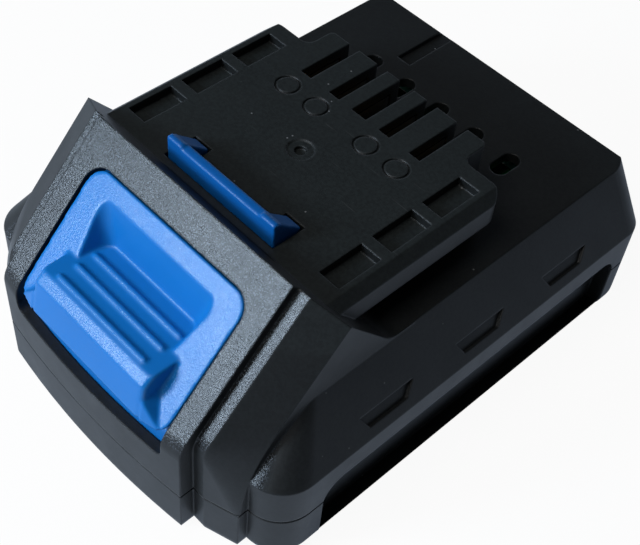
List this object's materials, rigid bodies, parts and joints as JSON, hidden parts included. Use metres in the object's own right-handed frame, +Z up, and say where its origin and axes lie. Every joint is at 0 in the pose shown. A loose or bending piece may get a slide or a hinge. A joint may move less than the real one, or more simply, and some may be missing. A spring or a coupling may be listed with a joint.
{
  "type": "power tool battery pack",
  "caption": "Slide-in power tool battery pack with a ridged front, blue thumb latch, side grip channels and a slotted rail tower.",
  "frame": {"origin": "middle of the underside, on the surface that the pack stands on", "axes": "+X across the width, +Y from the thumb button to the rear, +Z up towards the rails"},
  "size_m": [0.0804, 0.1056, 0.0498],
  "materials": {
    "black_housing": "fine spark texture",
    "black_housing_lower": "fine spark texture",
    "blue_latch": "satin, grained rim",
    "spring_steel": "drawn wire",
    "white_paper": "pressed fibre",
    "grey_sheet": "smooth sheet",
    "holder_plastic": "moulded",
    "board_green": "lacquered",
    "block_plastic": "moulded",
    "bead_black": "dipped",
    "chip_black": "moulded",
    "shunt_metal": "rolled",
    "capacitor_can": "drawn",
    "screw_steel": "zinc plated",
    "cell_sleeve": "shrunk sleeve",
    "nickel": "nickel plated",
    "contact_brass": "stamped"
  },
  "bodies": {
    "housing": {"board_capacitors": "capacitor_can", "board_screws": "screw_steel", "bus_strip_1": "nickel", "bus_strip_2": "nickel", "bus_strip_3": "nickel", "bus_strip_4": "nickel", "bus_strip_5": "nickel", "bus_strip_6": "nickel", "cell_1": "cell_sleeve", "cell_2": "cell_sleeve", "cell_3": "cell_sleeve", "cell_4": "cell_sleeve", "cell_5": "cell_sleeve", "cell_holder_left": "holder_plastic", "cell_holder_right": "holder_plastic", "circuit_board": "board_green", "contact_1": "contact_brass", "contact_2": "contact_brass", "contact_3": "contact_brass", "contact_4": "contact_brass", "contact_5": "contact_brass", "controller_chip": "chip_black", "current_shunt": "shunt_metal", "end_insulator_left": "grey_sheet", "end_insulator_right": "grey_sheet", "housing_screws": "screw_steel", "insulating_sheet": "grey_sheet", "insulator_rings": "white_paper", "latch_spring_left": "spring_steel", "latch_spring_right": "spring_steel", "lower_housing": "black_housing_lower", "power_transistors": "chip_black", "terminal_block": "block_plastic", "thermistor": "bead_black", "upper_housing": "black_housing"},
    "latch": {"release_latch": "blue_latch"}
  },
  "joints": [
    {"name": "latch_slide", "type": "slide", "parent": "housing", "child": "latch", "axis": [0, 0, 1], "range_m": [-0.005, 0], "stiffness_N_per_m": 600, "springref_m": 0.002, "deforming": ["latch_spring_left", "latch_spring_right"]}
  ]
}
